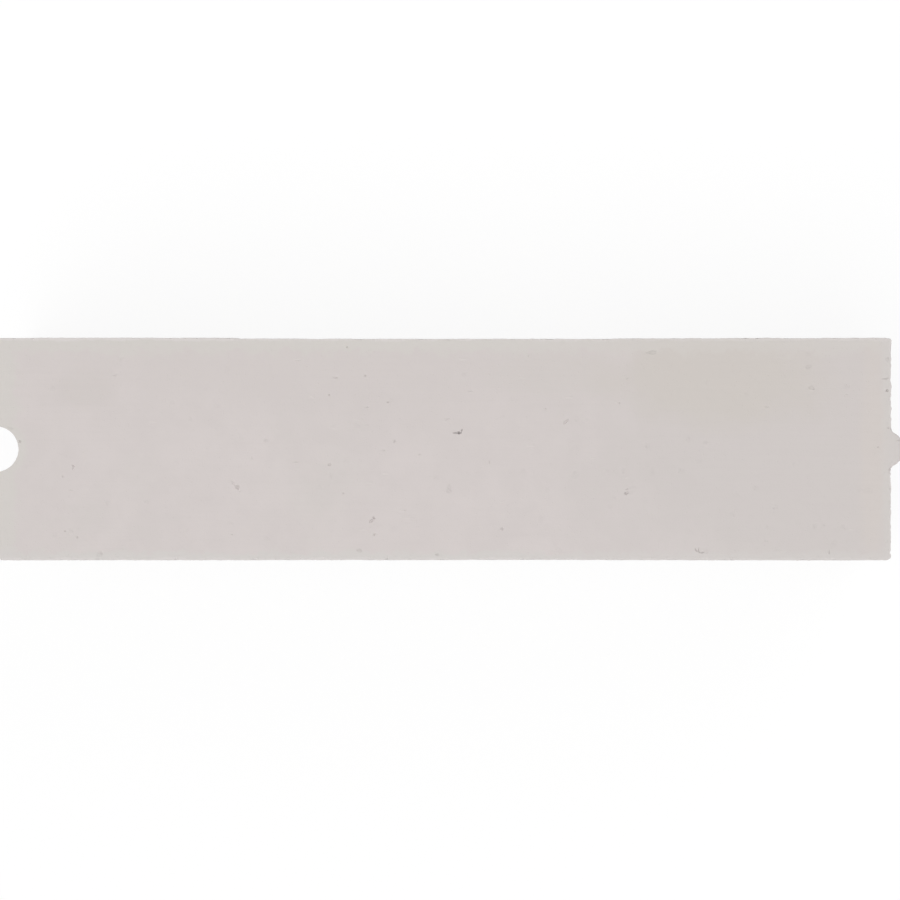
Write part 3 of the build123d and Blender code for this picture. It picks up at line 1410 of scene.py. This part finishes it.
    def mill_groove(self, body: bpy.types.Object) -> None:
        """Mills the groove down the -X end and rounds its two lips.

        Args:
            body: The body with its tongue.
        """
        sizes = self.sizes
        bpy.ops.object.select_all(action="DESELECT")
        bpy.ops.mesh.primitive_cylinder_add(
            vertices=self.groove_facets,
            radius=sizes.groove_radius,
            depth=sizes.height * 1.2,
            location=(sizes.groove_axis_x, 0.0, sizes.height / 2),
        )
        cutter = bpy.context.object
        apply_modifier(body, "BOOLEAN", operation="DIFFERENCE", object=cutter, solver="EXACT")
        bpy.data.objects.remove(cutter)
        into = -self.half_length - sizes.groove_axis_x
        lip_y = (sizes.groove_radius**2 - into**2) ** 0.5
        open_for_editing(body)
        for side in (-1, 1):
            self.round_upright(body, -self.half_length, side * lip_y,
                               self.groove_lip_radius, radians(self.groove_lip_turn), 2)
        close_editing()

    def ease_upright_edges(self, body: bpy.types.Object) -> None:
        """Rounds the body's four upright edges, each by its own wear.

        Args:
            body: The body, milled at both ends.
        """
        corner = radians(90)
        open_for_editing(body)
        for side in (-1, 1):
            self.round_upright(body, -self.half_length, side * self.half_thickness,
                               self.groove_end_edge_radius, corner, 3)
        self.round_upright(body, self.half_length, self.half_thickness,
                           self.tongue_end_back_radius, corner, 4)
        self.round_upright(body, self.half_length, -self.half_thickness,
                           self.tongue_end_front_radius, corner, 6)
        close_editing()

    def ease_bed_edges(self, body: bpy.types.Object) -> None:
        """Rounds the whole outline of both bed faces.

        Args:
            body: The body, with its upright edges eased.
        """
        open_for_editing(body)
        pick(body, "edges", lambda edge: len(edge.link_faces) == 2
             and {round(abs(face.normal.z)) for face in edge.link_faces} == {0, 1})
        bpy.ops.mesh.bevel(offset_type="OFFSET", offset=self.bed_edge_radius,
                           segments=2, affect="EDGES", clamp_overlap=True)
        close_editing()

    def lay_grid(self, body: bpy.types.Object) -> None:
        """Slices the body's faces into small ones, which can then be roughened.

        Args:
            body: The body, eased all round.
        """
        sizes = self.sizes
        spans = (
            (Vector((0, 0, 1)), 0.0, sizes.height, 1.5),
            (Vector((0, 1, 0)), -self.half_thickness, self.half_thickness, 1.0),
            (Vector((1, 0, 0)), -self.half_length, self.half_length + sizes.tongue_reach, 1.0),
        )
        open_for_editing(body)
        for across, low, high, coarser in spans:
            steps = round((high - low) / (self.grid_step * coarser))
            for number in range(1, steps):
                slice_at(across * (low + (high - low) * number / steps), across)
        pick(body, "edges", self.runs_along_bed_arris)
        bpy.ops.mesh.subdivide(number_cuts=2)
        close_editing()

    def runs_along_bed_arris(self, edge: bmesh.types.BMEdge) -> bool:
        """Tells whether an edge is one of the long ones of a bed's rounded outline.

        Args:
            edge: An edge of the open mesh.

        Returns:
            Whether it is.
        """
        slanting = any(slants(face.normal.z) for face in edge.link_faces)
        rise = abs(edge.verts[0].co.z - edge.verts[1].co.z)
        return slanting and rise < self.same_place and edge.calc_length() > self.grid_step / 2

    def arris_distance(self, place: Vector) -> float:
        """Measures how far a point is from the nearest arris of the body's box.

        Args:
            place: A point of the surface.

        Returns:
            The distance, across the face that the point is on.
        """
        depths = sorted((
            max(self.half_length - abs(place.x), 0.0),
            max(self.half_thickness - abs(place.y), 0.0),
            max(min(place.z, self.sizes.height - place.z), 0.0),
        ))
        return depths[1]

    def weigh(self, body: bpy.types.Object, name: str,
              weight: Callable[[Vector], float]) -> None:
        """Writes a vertex group.

        Args:
            body: The body.
            name: The group's name.
            weight: The weight of a point, from 0 to 1.
        """
        group = body.vertex_groups.new(name=name)
        for vert in body.data.vertices:
            share = weight(vert.co)
            if share > 0:
                group.add([vert.index], share, "REPLACE")

    def roughen(self, body: bpy.types.Object) -> None:
        """Gives the body the saw's wander, its crumbled arrises and its milled ends.

        Args:
            body: The body with its grid.
        """
        low, high = self.wander_band
        groove_x, tongue_x = -self.half_length, self.half_length
        groups = {
            "back_wander": lambda place: (
                self.back_wander(place.x) * smoothstep(low, high, place.y)),
            "front_wander": lambda place: (
                self.front_wander(place.x) * smoothstep(-low, -high, place.y)),
            "arrises": lambda place: self.arris_wear(place) * smoothstep(
                self.crumble_reach, 0.0, self.arris_distance(place)),
            "brinks": lambda place: self.arris_wear(place) * smoothstep(
                *self.brink_reach, self.arris_distance(place)),
            "sides": lambda place: smoothstep(
                self.half_thickness - 1.6 * MM, self.half_thickness - 0.4 * MM, abs(place.y)),
            "groove_end": lambda place: smoothstep(
                groove_x + 2 * MM, groove_x + 0.5 * MM, place.x),
            "tongue_end": lambda place: (
                smoothstep(tongue_x - 2 * MM, tongue_x - 0.5 * MM, place.x)
                * smoothstep(tongue_x + 3 * MM, tongue_x + 1 * MM, place.x)),
        }
        for name, weight in groups.items():
            self.weigh(body, name, weight)
        # The wire wandered in along the middle of the back face, and along the front one.
        for group, inwards in (("back_wander", -self.back_wander_depth),
                               ("front_wander", self.front_wander_depth)):
            apply_modifier(body, "DISPLACE", direction="Y", strength=inwards, mid_level=0.0,
                           vertex_group=group)
        for wear in WEARS:
            self.crumble(body, wear)

    def back_wander(self, x: float) -> float:
        """How far in the back face is at a place along it, as a share of the most."""
        return climbed(BACK_STEPS_IN, x) * (1 - climbed(BACK_STEPS_OUT, x))

    def front_wander(self, x: float) -> float:
        """How far in the front face is at a place along it, as a share of the most."""
        return climbed(FRONT_STEPS_IN, x) * (1 - climbed(FRONT_STEPS_OUT, x))

    def arris_wear(self, place: Vector) -> float:
        """Tells how much an arris has crumbled: least along the back of the upper bed.

        Args:
            place: A point near the arris.

        Returns:
            The share of the most that it may crumble.
        """
        if place.z < self.sizes.height / 2:
            return 0.85
        return 0.45 if place.y > 0 else 0.7

    def crumble(self, body: bpy.types.Object, wear: Wear) -> None:
        """Sinks the surface unevenly.

        Args:
            body: The body.
            wear: Where, how and how far it sinks.
        """
        clouds = bpy.data.textures.new(wear.name, "CLOUDS")
        clouds.noise_scale = wear.grain
        clouds.noise_depth = 2
        clouds.use_color_ramp = True
        deepest, untouched = clouds.color_ramp.elements
        deepest.color = (0.0, 0.0, 0.0, 1.0)
        deepest.position = 0.2
        untouched.position = 0.8 - 0.6 * wear.spared
        apply_modifier(body, "DISPLACE", direction=wear.direction, texture=clouds,
                       texture_coords="LOCAL", strength=wear.depth, mid_level=wear.level,
                       vertex_group=wear.group)

    def dress(self, body: bpy.types.Object) -> PitCutter:
        """Gives each face its finish.

        Args:
            body: The body, before it is pitted.

        Returns:
            The cutter, which lines the pits and chips with finishes of their own.
        """
        sizes = self.sizes
        half_size = Vector((self.half_length, self.half_thickness, sizes.height / 2))
        shared = (half_size, sizes.groove_axis_x, sizes.groove_radius)
        for finish in (ConcreteFinish("wire_cut_bed", *shared),
                       MilledFinish("milled_end", *shared),
                       SideFinish("wire_cut_side", *shared)):
            body.data.materials.append(finish.make())
        for face in body.data.polygons:
            face.material_index = self.skin_of(face)
        return PitCutter({
            lining: lining.value(f"{lining.name.lower()}_hollow", *shared).make()
            for lining in Lining
        })

    def skin_of(self, face: bpy.types.MeshPolygon) -> Skin:
        """Tells which of the block's faces a small one belongs to.

        Args:
            face: A small face of the body.

        Returns:
            The block's face. An arris counts as part of the bed.
        """
        near = 0.9 * MM
        groove_foot = self.sizes.groove_axis_x + self.sizes.groove_radius + 0.6 * MM
        x, y, _ = face.center
        rise = abs(face.normal.z)
        past_end = abs(x) > self.half_length - near
        in_groove = x < groove_foot and abs(y) < self.sizes.groove_radius + near
        if rise <= 0.6 and (past_end or in_groove):
            return Skin.END
        return Skin.SIDE if rise < 0.25 else Skin.BED

    def seen_hollows(self, body: bpy.types.Object) -> list[Stamp]:
        """The pits that the photograph shows in the upper bed.

        Args:
            body: The roughened body.

        Returns:
            One stamp for each.
        """
        stamps = []
        for pit in SEEN_PITS:
            turn = radians(pit.turn)
            over = Vector((pit.x * MM, pit.y * MM, self.sizes.height + MM))
            found, place, _, _ = body.ray_cast(over, Vector((0, 0, -1)))
            if not found:
                log.warning("no surface under the pit at %.1f, %.1f mm", pit.x, pit.y)
                continue
            stamps.append(Stamp(
                place=place.copy(),
                outward=Vector((0, 0, 1)),
                along=Vector((cos(turn), sin(turn), 0)),
                length=pit.length * MM,
                width=pit.width * MM,
                depth=pit.depth * MM,
                shape=pit.shape,
            ))
        return stamps

    def chips(self, body: bpy.types.Object) -> list[Stamp]:
        """Small crumbs off the arrises, larger and closer together round the tongue's end.

        Args:
            body: The roughened body.

        Returns:
            One stamp for each.
        """
        draw = random.Random(self.seed)
        strips = [face for face in body.data.polygons if self.is_arris(face)]
        weights = [face.area * self.chip_share(face.center) for face in strips]
        stamps = []
        for face in draw.choices(strips, weights, k=self.chip_count):
            corners = [body.data.vertices[index].co for index in face.vertices]
            sides = [b - a for a, b in zip(corners, corners[1:] + corners[:1])]
            along = max(sides, key=lambda side: side.length)
            worn = self.worn_chip if self.by_worn_end(face.center) else 1.0
            size = worn * self.chip_size * exp(draw.gauss(0, self.chip_spread))
            size = min(size, self.largest_chip)
            stamps.append(Stamp(
                place=face.center.copy(),
                outward=face.normal.copy(),
                along=along.normalized(),
                length=size * draw.uniform(*self.chip_lengths),
                width=size * draw.uniform(*self.chip_widths),
                depth=size * draw.uniform(*self.chip_depths),
                shape=PitShape.CHIP,
            ))
        return stamps

    def by_worn_end(self, place: Vector) -> bool:
        """Whether a point is near the tongue's end."""
        return place.x > self.half_length - self.worn_end

    def chip_share(self, place: Vector) -> float:
        """Tells how thick the chips lie: most at the tongue's end, fewest at the back.

        Args:
            place: A point of an arris.

        Returns:
            The share of the usual number.
        """
        if self.by_worn_end(place):
            return 1.8
        if place.z < self.sizes.height / 2:
            return 1.0
        return 0.15 if place.y > 0 else 0.6

    def is_arris(self, face: bpy.types.MeshPolygon) -> bool:
        """Tells whether a face belongs to a rounded edge of the body.

        Args:
            face: A small face of the body.

        Returns:
            Whether it does.
        """
        near = 4 * MM
        at_corner = (abs(face.center.x) > self.half_length - near
                     and abs(face.center.y) > self.half_thickness - near)
        return slants(face.normal.z) or (at_corner and slants(face.normal.x))

    def stray_hollows(self, body: bpy.types.Object) -> list[Stamp]:
        """Bubbles cut open in every face but the upper bed, few of them large.

        Args:
            body: The roughened body.

        Returns:
            One stamp for each.
        """
        draw = random.Random(self.seed + 1)
        faces = [face for face in body.data.polygons
                 if not self.is_arris(face) and face.normal.z < 0.9]
        stamps = []
        for face in draw.choices(faces, [face.area for face in faces], k=self.stray_count):
            size = self.stray_size * exp(draw.gauss(0, self.stray_spread))
            size = min(size, self.largest_stray)
            milled = face.material_index == Skin.END
            along = Vector((0, 0, 1)) if milled else Vector((1, 0, 0))
            shape = draw.choices(list(STRAY_SHAPES), list(STRAY_SHAPES.values()))[0]
            if shape is PitShape.DISH:
                length = draw.uniform(*self.dish_lengths)
                width = length * draw.uniform(*self.dish_widths)
                depth = draw.uniform(*self.dish_depths)
            else:
                length = size * draw.uniform(*self.stray_lengths)
                width = length * draw.uniform(*self.stray_widths)
                depth = size * draw.uniform(*self.stray_depths)
            stamps.append(Stamp(
                place=self.spot_on(body, face, draw),
                outward=face.normal.copy(),
                along=along,
                length=length,
                width=width,
                depth=depth,
                shape=shape,
            ))
        return stamps

    def spot_on(self, body: bpy.types.Object, face: bpy.types.MeshPolygon,
                draw: random.Random) -> Vector:
        """Draws a point of a face, so that the hollows don't stand in the grid's rows.

        Args:
            body: The body that the face is of.
            face: The face, most often of four corners.
            draw: Where the chance comes from.

        Returns:
            The point, which is the middle of a face with other than four corners.
        """
        across, up = draw.random(), draw.random()
        if len(face.vertices) != 4:
            return face.center.copy()
        first, second, third, fourth = (body.data.vertices[index].co for index in face.vertices)
        return first.lerp(second, across).lerp(fourth.lerp(third, across), up)

    def tidy_mesh(self, body: bpy.types.Object) -> None:
        """Drops what a cut has left loose, and shades the faces.

        Args:
            body: The pitted body.
        """
        for group in list(body.vertex_groups):
            body.vertex_groups.remove(group)
        open_for_editing(body, "VERT")
        mesh = bmesh.from_edit_mesh(body.data)
        first = min(mesh.verts, key=lambda vert: vert.co.x)
        bpy.ops.mesh.select_all(action="DESELECT")
        first.select_set(True)
        bmesh.update_edit_mesh(body.data)
        bpy.ops.mesh.select_linked()
        bpy.ops.mesh.select_all(action="INVERT")
        loose = sum(1 for vert in mesh.verts if vert.select)
        bpy.ops.mesh.delete(type="VERT")
        # A corner between two edges only would be filled in twice by triangles.
        for _ in range(3):
            pick(body, "verts", lambda vert: len(vert.link_edges) == 2)
            bpy.ops.mesh.dissolve_verts()
        bpy.ops.mesh.select_all(action="SELECT")
        bpy.ops.mesh.quads_convert_to_tris()
        self.close_pinches(body)
        self.part_touching(body)
        close_editing()
        take_up(body)
        bpy.ops.object.shade_smooth_by_angle(angle=radians(self.smooth_angle))
        log.info("loose crumbs dropped: %d vertices", loose)

    def close_pinches(self, body: bpy.types.Object) -> None:
        """Draws together the hair-thin edges on which more than two triangles meet.

        Args:
            body: The body that is open for editing.
        """
        bpy.ops.mesh.select_mode(type="EDGE")
        for _ in range(3):
            found = pick(body, "edges", lambda edge: len(edge.link_faces) > 2
                         and edge.calc_length() < self.widest_pinch)
            if found:
                bpy.ops.mesh.merge(type="COLLAPSE")
                log.info("pinched edges drawn together: %d", found)
        bpy.ops.mesh.select_mode(type="VERT")

    def part_touching(self, body: bpy.types.Object) -> None:
        """Draws apart the corners that share a place, where two hollows only just touch.

        Args:
            body: The body that is open for editing.
        """
        mesh = bmesh.from_edit_mesh(body.data)
        sharing: dict[tuple[int, ...], list[bmesh.types.BMVert]] = {}
        for vert in mesh.verts:
            place = tuple(round(part / self.touching_gap) for part in vert.co)
            sharing.setdefault(place, []).append(vert)
        crowded = [vert for verts in sharing.values() if len(verts) > 1 for vert in verts]
        middles = []
        for vert in crowded:
            around = [edge.other_vert(vert).co for edge in vert.link_edges]
            middles.append(sum(around, Vector()) / len(around))
        for vert, middle in zip(crowded, middles):
            vert.co = vert.co.lerp(middle, 0.1)
        bmesh.update_edit_mesh(body.data)
        log.info("touching corners drawn apart: %d", len(crowded))


# The studio


@dataclass(frozen=True)
class Floor:
    """A white floor that stays white to the eye and keeps the block's shadow."""

    size: float = 40.0
    albedo: float = 0.60
    shadow_share: float = 0.12

    def build(self) -> bpy.types.Object:
        """Lays the floor.

        Returns:
            The floor.
        """
        bpy.ops.object.select_all(action="DESELECT")
        bpy.ops.mesh.primitive_plane_add(size=self.size)
        floor = bpy.context.object
        floor.name = "floor"
        floor.data.materials.append(self.material())
        return floor

    def material(self) -> bpy.types.Material:
        """White paint that shows plain white, with the shadow laid over it.

        Returns:
            The material.
        """
        material = bpy.data.materials.new("white_floor")
        material.use_nodes = True
        board = Board(material.node_tree)
        paint = (self.albedo, self.albedo, self.albedo, 1.0)
        plain = board.add("ShaderNodeBsdfDiffuse", {"Color": paint})
        white = board.add("ShaderNodeEmission", {"Strength": 1.0})
        shadowed = board.add("ShaderNodeBsdfDiffuse", {"Color": (1.0, 1.0, 1.0, 1.0)})
        sockets = {0: self.shadow_share, 1: white.outputs[0], 2: shadowed.outputs[0]}
        shown = board.add("ShaderNodeMixShader", sockets)
        sockets = {0: seen_directly(board), 1: plain.outputs[0], 2: shown.outputs[0]}
        surface = board.add("ShaderNodeMixShader", sockets)
        board.add("ShaderNodeOutputMaterial", {"Surface": surface.outputs[0]})
        return material


def seen_directly(board: Board) -> Socket:
    """Tells whether the eye sees a point straight on, in a reflection or through glass.

    Args:
        board: The material's or world's board.

    Returns:
        A socket that is 1 where it does, and otherwise 0.
    """
    path = board.add("ShaderNodeLightPath")
    mirrored = board.math("MAXIMUM", path.outputs["Is Camera Ray"], path.outputs["Is Glossy Ray"])
    return board.math("MAXIMUM", mirrored, path.outputs["Is Transmission Ray"])


@dataclass(frozen=True)
class Studio:
    """Plain soft light: a pale room, a wide key from the front left and a weaker fill."""

    room_level: float = 0.48
    key_level: float = 1.65
    key_from: tuple[float, float, float] = (-0.24, -0.32, 1.0)
    fill_level: float = 0.6
    fill_from: tuple[float, float, float] = (0.6, 0.9, 0.7)
    softness: float = 50.0  # degrees that each lamp spans in the sky

    def build(self) -> None:
        """Sets the room's light and hangs the lamps."""
        world = bpy.data.worlds.new("pale_room")
        world.use_nodes = True
        board = Board(world.node_tree)
        level = board.fade(seen_directly(board), 0.0, 1.0, self.room_level, 1.0)
        white = (1.0, 1.0, 1.0, 1.0)
        room = board.add("ShaderNodeBackground", {"Color": white, "Strength": level})
        board.add("ShaderNodeOutputWorld", {"Surface": room.outputs[0]})
        bpy.context.scene.world = world
        self.hang("key", self.key_level, self.key_from)
        self.hang("fill", self.fill_level, self.fill_from)

    def hang(self, name: str, level: float, source: tuple[float, float, float]) -> None:
        """Hangs one wide far-off lamp.

        Args:
            name: Its name.
            level: Its strength.
            source: The way to it from the block.
        """
        lamp = bpy.data.lights.new(name, "SUN")
        lamp.energy = level
        lamp.angle = radians(self.softness)
        hung = bpy.data.objects.new(name, lamp)
        hung.rotation_euler = Vector(source).to_track_quat("Z", "Y").to_euler()
        bpy.context.scene.collection.objects.link(hung)


@dataclass(frozen=True)
class PhotoCamera:
    """The photograph's camera: a long lens that looks straight down on the upper bed."""

    upper_bed: float
    lens: float = 200.0  # millimetres
    sensor: float = 36.0  # millimetres
    view_width: float = 604.8 * MM  # what the picture spans on the upper bed
    aim_x: float = 3.73 * MM
    aim_y: float = -0.57 * MM

    def build(self) -> bpy.types.Object:
        """Sets the camera up.

        Returns:
            The scene's camera.
        """
        lens = bpy.data.cameras.new("photo_camera")
        lens.type = "PERSP"
        lens.lens = self.lens
        lens.sensor_width = self.sensor
        lens.dof.use_dof = False
        camera = bpy.data.objects.new("photo_camera", lens)
        distance = self.view_width * self.lens / self.sensor
        camera.location = (self.aim_x, self.aim_y, self.upper_bed + distance)
        bpy.context.scene.collection.objects.link(camera)
        bpy.context.scene.camera = camera
        return camera


def report(piece: bpy.types.Object) -> None:
    """Logs one finished piece.

    Args:
        piece: The piece.
    """
    piece.data.calc_loop_triangles()
    log.info("%s: %d faces, %d triangles", piece.name, len(piece.data.polygons),
             len(piece.data.loop_triangles))


def main() -> None:
    """Builds the block, the floor, the light and the camera."""
    logging.basicConfig(level=logging.INFO, format="%(name)s: %(message)s")
    sizes = BlockSizes.from_frame()
    report(AeratedBlock(sizes).build())
    report(Floor().build())
    Studio().build()
    PhotoCamera(sizes.height).build()
    bpy.context.scene.view_settings.view_transform = "Standard"


if __name__ == "__main__":
    main()
